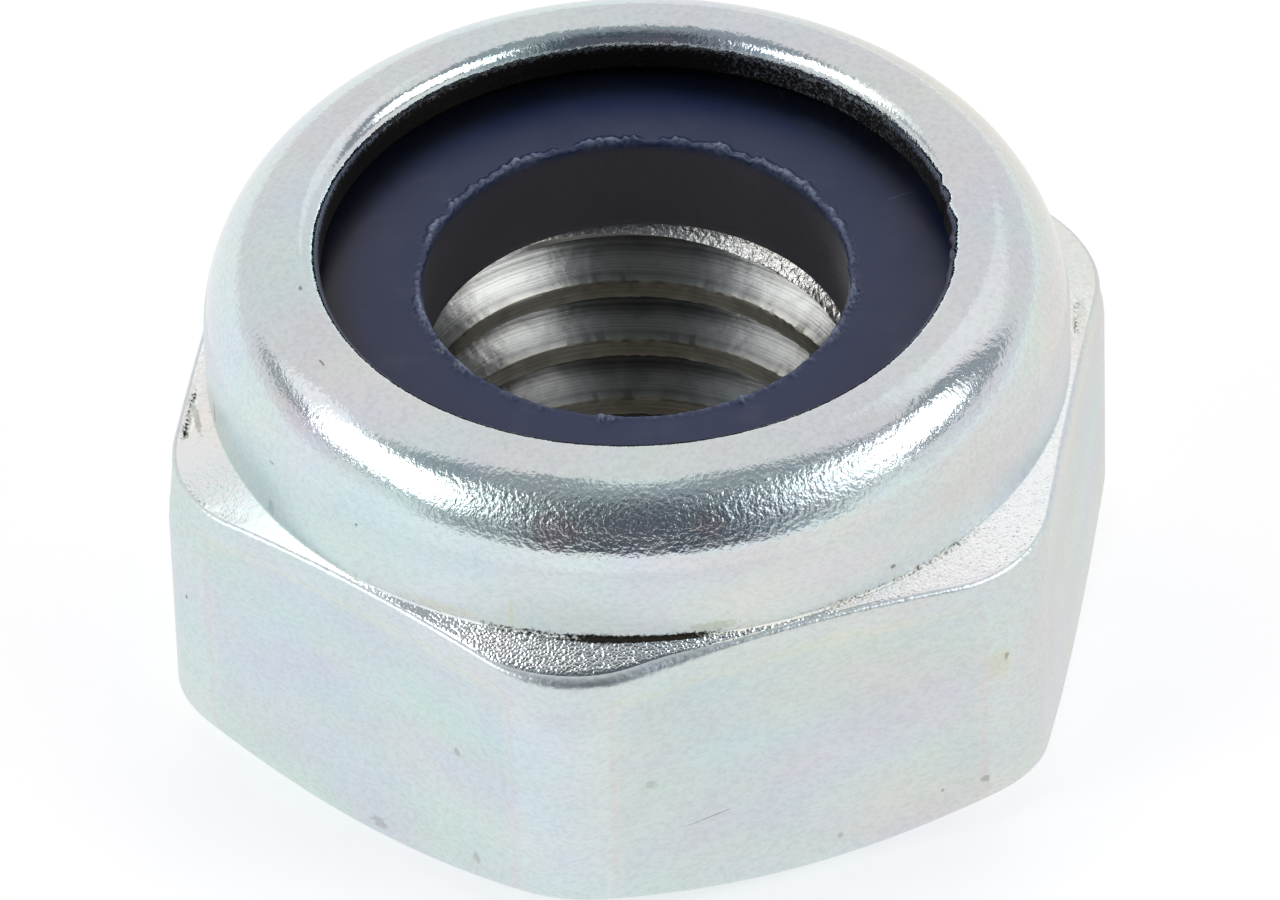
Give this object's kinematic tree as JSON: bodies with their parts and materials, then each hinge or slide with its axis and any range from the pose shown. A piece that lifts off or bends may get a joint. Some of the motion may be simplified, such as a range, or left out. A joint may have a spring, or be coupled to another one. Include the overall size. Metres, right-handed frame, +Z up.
{
  "type": "nylon insert lock nut",
  "caption": "Hexagon lock nut in zinc plated steel, with a round collar whose rolled-in lip holds a dark blue nylon ring that grips the bolt thread.",
  "frame": {"origin": "centre of the bearing face, on the thread axis, at the bottom of the nut", "axes": "+Z up along the thread axis, from the bearing face to the collar; two corners of the hexagon lie on the X axis, so two wrench flats face -Y and +Y"},
  "size_m": [0.0192, 0.017, 0.0096],
  "materials": {
    "plated_steel": "bright zinc plating, pale blue passivation",
    "blue_nylon": "satin moulded nylon, dark navy blue"
  },
  "bodies": {
    "root": {"nut_body": "plated_steel", "nylon_ring": "blue_nylon"}
  },
  "joints": []
}
